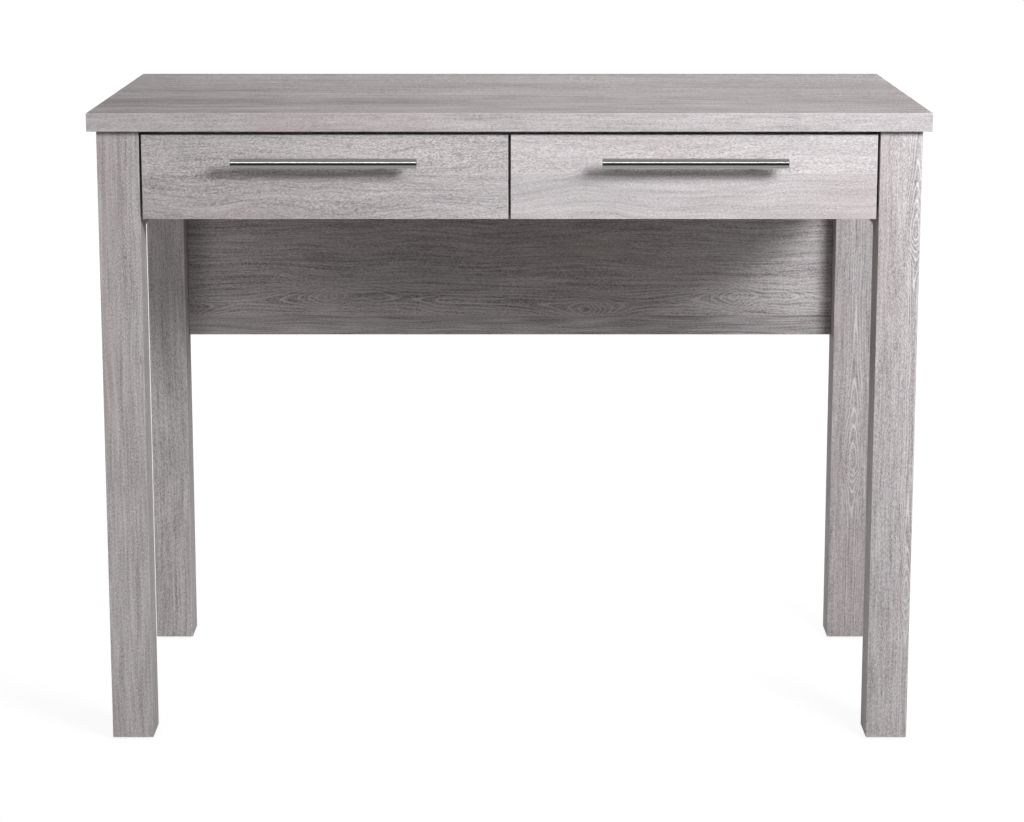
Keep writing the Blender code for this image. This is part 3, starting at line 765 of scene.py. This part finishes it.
def liner_board(node, axes, tools=()):
    """A board of a drawer box in place of a node, with raw ends and grooves."""
    mesh = cut_board(node, axes, LINER_ROUND, tools)
    core = chipboard(node + "_core")
    foil = liner(node + "_foil", axes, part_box(node))
    piece(node + "_board", mesh, [foil, foil, core, core], [node])


def cam_pocket(node):
    """The round pocket that a cam lock sits in, a little wider and deeper than the cam."""
    low, high, middle = box_of(node)
    size = high - low
    axis = min(range(3), key=lambda i: size[i])
    radius = max(size) / 2 + GAP
    direction = Vector((0, 0, 0))
    direction[axis] = 1.0
    length = size[axis] + 4 * GAP
    start = middle - direction * length / 2
    profile = [(0, 0), (radius, 0), (radius, length), (0, length)]
    return lathe_mesh("pocket", profile, start, direction, material_index=CORE)


# The number after a board's axes says which piece of the print it gets.


def make_desktop():
    oak_board(
        "desktop",
        "XYZ",
        1.0,
        edge_tone=0.02,
        edge_contrast=0.35,
        tone=-0.02,
        contrast=1.8,
        streaks=1.15,
        seams=(-0.062, 0.128),
        figures=((0.200, 0.0060, 0.035, TOP_HEARTS),),
    )


def make_legs():
    front_left_knots = (
        (0.604, -0.4577, 0.0040, 0.0022, 0.75),
        (0.480, -0.4415, 0.0090, 0.0016, 0.55),
        (0.451, -0.4720, 0.0025, 0.0016, 0.60),
        (0.3185, -0.4680, 0.0060, 0.0020, 0.50),
    )
    right_hearts = ((0.633, 0.018, 0.045, 5.0, 0.0), (0.186, 0.018, 0.035, 4.0, 0.0))
    rear_hearts = ((0.250, 0.020, 0.060, 5.0, 0.0),)
    legs = {
        "leg_front_left": {"knots": front_left_knots, "tone": 0.07},
        "leg_front_right": {"figures": ((0.4850, 0.0024, 0.010, right_hearts),), "tone": 0.02},
        "leg_rear_left": {"tone": 0.07},
        "leg_rear_right": {"figures": ((0.470, 0.0030, 0.010, rear_hearts),), "tone": 0.03},
    }
    for number, (node, settings) in enumerate(legs.items()):
        settings = {**settings, "waves": 0.3, "streaks": 0.7, "raw_ends": True, "edge_tone": 0.0}
        oak_board(node, "ZXY", 2.0 + number, radius=LEG_ROUND, **settings)


def make_rails():
    """The side rails, the modesty panel, the front rail and the centre divider, notched for that rail."""
    for number, side in enumerate(SIDES):
        pockets = [cam_pocket(f"cam_lock_rail_{end}_{side}") for end in ("front", "rear")]
        oak_board(f"side_rail_{side}", "YZX", 7.0 + number, tools=pockets)
    panel_cams = [f"cam_lock_panel_{level}_{side}" for level in ("lower", "upper") for side in SIDES]
    oak_board(
        "modesty_panel",
        "XZY",
        10.0,
        tools=[cam_pocket(cam) for cam in panel_cams],
        tone=0.02,
        seams=(0.4510,),
        figures=((0.4700, 0.0040, 0.018, PANEL_HEARTS),),
        knots=((-0.425, 0.4600, 0.035, 0.0060, 0.30),),
    )
    rail_low, rail_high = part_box("front_rail")
    divider_low, divider_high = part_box("centre_divider")
    notch = box_mesh(
        "notch",
        (divider_low.x - CUT_MARGIN, rail_low.y - CUT_MARGIN, rail_low.z - GAP),
        (divider_high.x + CUT_MARGIN, rail_high.y + GAP, rail_high.z + CUT_MARGIN),
        CORE,
    )
    oak_board("centre_divider", "YZX", 12.0, tools=[notch])
    oak_board("front_rail", "XYZ", 13.0)


# --- Drawers ---


def bottom_groove(node, reach):
    """A slot for the drawer bottom, which runs past the bottom's box by reach along each axis."""
    low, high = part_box(node)
    grow = Vector(reach)
    return box_mesh("groove", low - grow, high + grow, CORE)


DRAWER_PRINTS = {
    "left": {
        "seams": (0.7044,),
        "streaks": 0.55,
        "waves": 1.3,
        "knots": ((-0.0595, 0.7285, 0.0050, 0.0022, 0.5), (-0.1904, 0.7465, 0.0040, 0.0035, 0.45)),
    },
    "right": {"seams": (0.7056,), "contrast": 0.8, "streaks": 0.4, "waves": 1.0, "tone": 0.10},
}


def make_drawer(side, number):
    front_node = f"drawer_front_{side}"
    bottom_node = f"drawer_bottom_{side}"
    tools = [bottom_groove(bottom_node, (GAP, GAP, GAP))]
    front_low, front_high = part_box(front_node)
    length = front_high.y - front_low.y + 2 * CUT_MARGIN
    profile = [(0, 0), (HANDLE_HOLE, 0), (HANDLE_HOLE, length), (0, length)]
    for post in (1, 2):
        middle = box_of(f"handle_post_{side}_{post}")[2]
        start = (middle.x, front_low.y - CUT_MARGIN, middle.z)
        tools.append(lathe_mesh("hole", profile, start, (0, 1, 0), material_index=CORE))
    print_settings = DRAWER_PRINTS[side]
    oak_board(front_node, "XZY", 20.0 + number, tools=tools, radius=FRONT_ROUND, **print_settings)

    for wall in ("inner", "outer"):
        groove = bottom_groove(bottom_node, (GAP, CUT_MARGIN, GAP))
        liner_board(f"drawer_side_{side}_{wall}", "YZX", [groove])
    liner_board(f"drawer_back_{side}", "XZY")

    mesh = cut_board(bottom_node, "XYZ", THIN_ROUND)
    for face in mesh.polygons:
        face.material_index = 0 if face.normal.z > 0.5 else 1
    materials = [hardboard_face(bottom_node + "_face"), hardboard_back(bottom_node + "_back")]
    piece(bottom_node + "_board", mesh, materials, [bottom_node])


# --- Handles ---


def make_handle(side, steel, plate):
    """A bar on two saddled posts, and the screws that hold them from inside the drawer front."""
    bar_node = f"handle_bar_{side}"
    low, high, middle = box_of(bar_node)
    radius = (high.z - low.z) / 2
    half = (high.x - low.x) / 2
    end = [(0, -half), *arc((radius - BAR_ROUND, -half + BAR_ROUND), BAR_ROUND, -90, 0, 5)]
    profile = end + [(r, -h) for r, h in reversed(end)]
    mesh = lathe_mesh(bar_node, profile, middle, (1, 0, 0), BAR_SEGMENTS)
    piece(bar_node + "_turned", mesh, [steel], [bar_node])

    outline = [(0, -half), (radius, -half), (radius, half), (0, half)]
    bar = lathe_mesh("saddle", outline, middle, (1, 0, 0), BAR_SEGMENTS)
    for number in (1, 2):
        make_post(f"handle_post_{side}_{number}", bar, middle, steel)
        make_handle_screw(f"handle_screw_{side}_{number}", plate)
    bpy.data.meshes.remove(bar)


def make_post(node, bar, bar_middle, steel):
    """A post from the drawer front to the middle of the bar, with the bar's saddle cut in its end."""
    low, high, middle = box_of(node)
    radius = (high.x - low.x) / 2
    length = high.y - bar_middle.y
    profile = [
        (0, 0),
        *arc((radius - POST_ROUND, POST_ROUND), POST_ROUND, -90, 0, 3),
        (radius, length),
        (0, length),
    ]
    mesh = lathe_mesh(node, profile, (middle.x, high.y, bar_middle.z), (0, -1, 0))
    mesh = carved(mesh, [bar.copy()])
    piece(node + "_turned", mesh, [steel], [node])


def make_handle_screw(node, plate):
    low, high, middle = box_of(node)
    head_top = Vector((middle.x, high.y, middle.z))
    radius = (high.x - low.x) / 2
    length = high.y - low.y
    mesh = pan_screw(
        node, head_top, (0, -1, 0), radius, HANDLE_SCREW_HEAD, HANDLE_SCREW_SHANK, length
    )
    piece(node + "_threaded", mesh, [plate], [node])


def pan_screw(name, head_top, direction, head_radius, head_height, shank_radius, length):
    """A pan-head screw with a cross recess. direction runs from the head's top to the tip."""
    dome = 0.35 * head_height
    tip = 0.8 * shank_radius
    root = shank_radius - THREAD_DEPTH
    profile = [
        (0, 0),
        (head_radius * 0.45, dome * 0.12),
        (head_radius * 0.75, dome * 0.45),
        (head_radius * 0.93, dome),
        (head_radius, dome * 2.0),
        (head_radius, head_height),
        (shank_radius, head_height),
    ]
    for turn in range(int((length - head_height - tip) / THREAD_PITCH)):
        start = head_height + turn * THREAD_PITCH
        profile.append((root, start + THREAD_PITCH * 0.35))
        profile.append((shank_radius, start + THREAD_PITCH * 0.80))
    profile.append((root, length - tip))
    profile.append((0, length))
    mesh = lathe_mesh(name, profile, head_top, direction, SCREW_SEGMENTS)
    direction = Vector(direction)
    first = Vector((1, 0, 0)) if abs(direction.x) < 0.5 else Vector((0, 1, 0))
    long = head_radius * 0.56
    short = head_radius * 0.12
    return carved(mesh, cross_tools(head_top, direction, first, long, short, head_height * 0.55))


# --- Runners: made outwards from x = 0, then put on their seat ---

# A seat is the x of a carcass face, and the sign of the way from it towards the drawer.


def spots_along(node, shares):
    low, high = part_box(node)
    return [low.y + (high.y - low.y) * share for share in shares]


def slot_tools(node, z, x_low, x_high):
    """Slots with round ends in a row along a runner, cut through along X."""
    reach = SLOT_LENGTH / 2 - SLOT_RADIUS
    tools = []
    for y in spots_along(node, SLOT_SPOTS):
        outline = arc((y + reach, z), SLOT_RADIUS, -90, 90, 8)
        outline += arc((y - reach, z), SLOT_RADIUS, 90, 270, 8)
        outline = [(x_low, a, b) for a, b in outline]
        tools.append(extruded_mesh("slot", outline, (x_high - x_low, 0, 0)))
    return tools


def rivet_tool(web, roller):
    """A rivet from a runner's web through its roller, with a domed head."""
    out = 1 if roller["reach"] > web else -1
    length = abs(roller["reach"] - web) + roller["width"] / 2 + GAP
    profile = [
        (0, 0),
        (RIVET_RADIUS, 0),
        (RIVET_RADIUS, length),
        (RIVET_HEAD_RADIUS * 0.95, length),
        (RIVET_HEAD_RADIUS, length + RIVET_HEAD * 0.25),
        (RIVET_HEAD_RADIUS * 0.8, length + RIVET_HEAD * 0.75),
        (RIVET_HEAD_RADIUS * 0.45, length + RIVET_HEAD),
        (0, length + RIVET_HEAD),
    ]
    return lathe_mesh("rivet", profile, (web, roller["y"], roller["z"]), (out, 0, 0), SCREW_SEGMENTS)


def placed(mesh, seat):
    """A runner's mesh, put on its seat."""
    face_x, towards = seat
    mesh.transform(Matrix.Diagonal((towards, 1, 1, 1)))
    if towards < 0:
        mesh.flip_normals()
    mesh.transform(Matrix.Translation((face_x, 0, 0)))
    return mesh


def roller_facts(node, seat):
    """A roller's place and size. reach is how far its middle is from its seat."""
    low, high, middle = box_of(node)
    return {
        "y": middle.y,
        "z": middle.z,
        "reach": (middle.x - seat[0]) * seat[1],
        "radius": (high.z - low.z) / 2,
        "width": high.x - low.x,
    }


def make_roller(node, plastic):
    low, high, middle = box_of(node)
    radius = (high.z - low.z) / 2
    half = (high.x - low.x) / 2
    face = [
        (ROLLER_BORE, -half + 0.0002),
        (ROLLER_BORE + 0.0003, -half),
        (ROLLER_HUB, -half),
        (ROLLER_HUB + 0.0003, -half + ROLLER_DISH),
        (ROLLER_TREAD - 0.0003, -half + ROLLER_DISH),
        (ROLLER_TREAD, -half),
        *arc((radius - ROLLER_ROUND, -half + ROLLER_ROUND), ROLLER_ROUND, -90, -10, 5),
    ]
    profile = face + [(r, -h) for r, h in reversed(face)]
    mesh = lathe_mesh(node, profile, middle, (1, 0, 0), ROLLER_SEGMENTS)
    piece(node + "_moulded", mesh, [plastic], [node])


def screw_row(name, node, web, out, z, plate, body, seat):
    """Pan-head screws through a runner's web, joined into one piece. out is the way their heads face."""
    shape = bmesh.new()
    for y in spots_along(node, SCREW_SPOTS):
        top = Vector((web + out * PAN_HEAD_HEIGHT, y, z))
        head = pan_screw(
            "head", top, (-out, 0, 0), PAN_HEAD_RADIUS, PAN_HEAD_HEIGHT, PAN_SHANK, PAN_LENGTH
        )
        shape.from_mesh(head)
        bpy.data.meshes.remove(head)
    mesh = bpy.data.meshes.new(name)
    shape.to_mesh(mesh)
    shape.free()
    piece(name, placed(mesh, seat), [plate], body=body)


def finish_runner(node, mesh, seat):
    white = enamel(node + "_enamel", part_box(node))
    piece(node + "_pressed", placed(mesh, seat), [white], [node])


def make_cabinet_runner(label, seat, plate):
    """A channel against the carcass, notched at the front for the roller that is riveted to its web."""
    node = f"cabinet_runner_{label}"
    low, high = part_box(node)
    roller = roller_facts(f"cabinet_roller_{label}", seat)
    top = roller["z"] + roller["radius"] - CHANNEL_DROP
    web = GAP + SHEET / 2
    path = [
        (CHANNEL_REACH, low.z + SHEET / 2),
        (web, low.z + SHEET / 2),
        (web, top - SHEET / 2),
        (CHANNEL_REACH, top - SHEET / 2),
    ]
    mesh = bent_sheet(node, path, low.y, high.y)
    notch = box_mesh(
        "notch",
        (GAP + SHEET, low.y - CUT_MARGIN, top - 2 * SHEET),
        (RUNNER_SPACE, roller["y"] + roller["radius"] + CHANNEL_NOTCH, top + CUT_MARGIN),
    )
    middle_z = (low.z + top) / 2
    slots = slot_tools(node, middle_z, -CUT_MARGIN, SHEET + 2 * GAP)
    mesh = carved(mesh, [notch, *slots])
    mesh = carved(mesh, [rivet_tool(web, roller)], "UNION")
    finish_runner(node, mesh, seat)
    name = f"cabinet_runner_screws_{label}"
    screw_row(name, node, GAP + SHEET, 1, middle_z, plate, "frame", seat)


def make_drawer_runner(label, body, seat, plate):
    """An angle against the drawer side, whose flange runs on the cabinet roller, with a skirt under it."""
    node = f"drawer_runner_{label}"
    low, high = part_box(node)
    roller = roller_facts(f"drawer_roller_{label}", seat)
    cabinet_roller = roller_facts(f"cabinet_roller_{label}", seat)
    flange_z = cabinet_roller["z"] + cabinet_roller["radius"] + GAP + SHEET / 2
    web = RUNNER_SPACE - GAP - SHEET / 2
    path = [(web, high.z), (web, flange_z), (FLANGE_REACH, flange_z)]
    mesh = bent_sheet(node, path, low.y, high.y)
    skirt = box_mesh(
        "skirt",
        (web - SHEET / 2, low.y, roller["z"] - SKIRT_DROP),
        (web + SHEET / 2, high.y, flange_z + SHEET * 2),
    )
    mesh = carved(mesh, [skirt, rivet_tool(web, roller)], "UNION")
    screw_z = (flange_z + high.z) / 2 + SHEET / 2
    mesh = carved(mesh, slot_tools(node, screw_z, web - CUT_MARGIN, web + CUT_MARGIN))
    finish_runner(node, mesh, seat)
    name = f"drawer_runner_screws_{label}"
    screw_row(name, node, web - SHEET / 2, -1, screw_z, plate, body, seat)


def make_runners(plate, plastic):
    divider_low, divider_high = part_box("centre_divider")
    for side, hand in SIDES.items():
        rail_low, rail_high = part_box(f"side_rail_{side}")
        inner_face = divider_high.x if hand > 0 else divider_low.x
        outer_face = rail_low.x if hand > 0 else rail_high.x
        for wall, seat in (("inner", (inner_face, hand)), ("outer", (outer_face, -hand))):
            label = f"{side}_{wall}"
            make_cabinet_runner(label, seat, plate)
            make_drawer_runner(label, f"drawer_{side}", seat, plate)
            make_roller(f"cabinet_roller_{label}", plastic)
            make_roller(f"drawer_roller_{label}", plastic)


# --- Fittings ---


def make_cam(node, outward, plate):
    """A cast cam: a raised rim round a dished face with a cross slot."""
    low, high, middle = box_of(node)
    outward = Vector(outward)
    axis = max(range(3), key=lambda i: abs(outward[i]))
    radius = max(high[i] - low[i] for i in range(3) if i != axis) / 2
    depth = high[axis] - low[axis]
    face = middle + outward * depth / 2
    profile = [
        (0, CAM_DISH),
        (radius * 0.74, CAM_DISH),
        (radius * 0.80, 0.0001),
        *arc((radius - CAM_ROUND, CAM_ROUND), CAM_ROUND, -90, 0, 4),
        (radius, depth),
        (0, depth),
    ]
    mesh = lathe_mesh(node, profile, face, -outward, ROLLER_SEGMENTS)
    up = Vector((0, 0, 1))
    mesh = carved(mesh, cross_tools(face, outward, up, radius * 0.62, CAM_SLOT, CAM_SLOT_DEPTH))
    piece(node + "_cast", mesh, [plate], [node])


def make_glide(node, plastic):
    """A nail-on glide: a rounded disc under the leg with a recess for its nail."""
    low, high, middle = box_of(node)
    radius = (high.x - low.x) / 2
    height = high.z - low.z
    profile = [
        (0, NAIL_RECESS),
        (NAIL_RADIUS, NAIL_RECESS),
        (NAIL_RADIUS + 0.0004, 0.0003),
        (NAIL_RADIUS + 0.0012, 0.0),
        *arc((radius - GLIDE_ROUND, GLIDE_ROUND), GLIDE_ROUND, -90, 0, 5),
        (radius, height),
        (0, height),
    ]
    mesh = lathe_mesh(node, profile, (middle.x, middle.y, low.z), (0, 0, 1), ROLLER_SEGMENTS)
    piece(node + "_moulded", mesh, [plastic], [node])


def make_fittings(plate, plastic):
    for side, hand in SIDES.items():
        for end in ("front", "rear"):
            make_cam(f"cam_lock_rail_{end}_{side}", (-hand, 0, 0), plate)
            make_glide(f"glide_{end}_{side}", plastic)
        for level in ("lower", "upper"):
            make_cam(f"cam_lock_panel_{level}_{side}", (0, 1, 0), plate)


# --- Studio ---

WORLD_SIDE = 0.08  # strength of the world's light from the sides, and from above
WORLD_TOP = 0.38
FLOOR_RADIUS = 30.0
FLOOR_NEAR = (0.5, 0.5, 0.5)  # what light bounces off, under the desk and beyond
FLOOR_FAR = (0.06, 0.06, 0.06)
FLOOR_SHADE = (0.16, 0.16, 0.16)  # the share of the visible floor that takes shadows
NEUTRAL = (1.0, 1.0, 1.0)
COOL = (0.965, 0.985, 1.0)
WARM = (1.0, 0.965, 0.955)
# Each light's place, target, width and height in metres, spread in degrees, power in watts and tint.
LIGHTS = {
    "key": ((1.15, -1.60, 1.50), (0.20, -0.24, 0.92), (0.75, 0.50), 100, 14.8, COOL),
    "strip": ((-0.2, -3.2, 2.5), (0, 0, 0.7), (2.4, 0.3), 180, 12, NEUTRAL),
    "right": ((1.9, -1.7, 0.95), (0.3, 0.1, 0.6), (1.0, 1.0), 180, 7, COOL),
    "left": ((-1.8, -1.6, 1.2), (-0.3, -0.2, 0.8), (1.4, 1.4), 110, 4.5, WARM),
    "top": ((0.4, 1.3, 2.5), (0, 0, 0.7), (1.4, 1.4), 180, 22, WARM),
    "rear": ((-1.3, 2.3, 0.42), (-0.1, 0.25, 0.42), (1.6, 0.6), 120, 5, WARM),
}
MATT_LIGHTS = ("key", "right")  # these would glare on the desktop seen from behind


def make_world():
    """White to the eye. It lights the desk from high up, and the studio's sides stay dark."""
    world = bpy.data.worlds.new("studio")
    world.use_nodes = True
    bpy.context.scene.world = world
    s = Nodes(world.node_tree)
    direction = s.made("ShaderNodeTexCoord", "Generated", {})
    height = s.made("ShaderNodeSeparateXYZ", "Z", {0: direction})
    inputs = {"Value": height, "From Min": 0.25, "From Max": 0.65}
    inputs["To Min"], inputs["To Max"] = WORLD_SIDE, WORLD_TOP
    strength = s.made("ShaderNodeMapRange", 0, inputs)
    sky = s.made("ShaderNodeBackground", 0, {"Strength": strength})
    seen = s.made("ShaderNodeBackground", 0, {"Color": (1, 1, 1)})
    s.feed(s.tree.nodes["World Output"].inputs["Surface"], s.by_eye(seen, sky))


def make_floor():
    """A wide floor, near white to the eye, with faint shadows. It lights the desk only from nearby."""
    shape = bmesh.new()
    bmesh.ops.create_circle(shape, cap_ends=True, segments=96, radius=FLOOR_RADIUS)
    mesh = mesh_from(shape, "floor")
    s = Shader("pale_floor")
    x, y = s.along("XY")
    far = (x * x + y * y).root()
    glow = s.made("ShaderNodeEmission", 0, {"Strength": far.rise(1.0, 2.6) * 0.10 + 0.90})
    shade = s.made("ShaderNodeBsdfDiffuse", 0, {"Color": FLOOR_SHADE})
    seen = s.made("ShaderNodeAddShader", 0, {0: glow, 1: shade})
    tint = s.blend(far.rise(0.9, 1.6), FLOOR_NEAR, FLOOR_FAR)
    bounce = s.made("ShaderNodeBsdfDiffuse", 0, {"Color": tint})
    s.feed(s.tree.nodes["Material Output"].inputs["Surface"], s.by_eye(seen, bounce))
    s.tree.nodes.remove(s.principled)
    mesh.materials.append(s.material)
    new_object("floor", mesh)


def make_light(name, place, target, size, spread, power, tint):
    lamp = bpy.data.lights.new(name, "AREA")
    lamp.shape = "RECTANGLE"
    lamp.size, lamp.size_y = size
    lamp.spread = math.radians(spread)
    lamp.energy = power
    lamp.color = tint
    obj = new_object(name, lamp)
    obj.location = place
    obj.rotation_mode = "QUATERNION"
    obj.rotation_quaternion = (Vector(target) - Vector(place)).to_track_quat("-Z", "Y")
    obj.visible_glossy = name not in MATT_LIGHTS


def make_camera():
    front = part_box("desktop")[0].y
    data = bpy.data.cameras.new("camera")
    data.sensor_width = 36.0
    data.lens = CAMERA_LENS
    data.shift_x = CAMERA_SHIFT_X
    data.shift_y = CAMERA_SHIFT_Y
    camera = new_object("camera", data)
    camera.location = (CAMERA_X, front - CAMERA_DISTANCE, CAMERA_Z)
    camera.rotation_euler = (math.pi / 2 - CAMERA_PITCH, 0, 0)
    bpy.context.scene.camera = camera


def make_studio():
    make_camera()
    make_floor()
    make_world()
    for name, settings in LIGHTS.items():
        make_light(name, *settings)
    bpy.context.scene.view_settings.view_transform = "Standard"


def make_desk():
    make_desktop()
    make_legs()
    make_rails()
    for number, side in enumerate(SIDES):
        make_drawer(side, number)
    steel = satin_steel("satin_steel")
    plated = zinc("plated_zinc")
    for side in SIDES:
        make_handle(side, steel, plated)
    make_runners(plated, nylon("nylon"))
    make_fittings(plated, black_plastic("glide_plastic"))


make_studio()
make_desk()
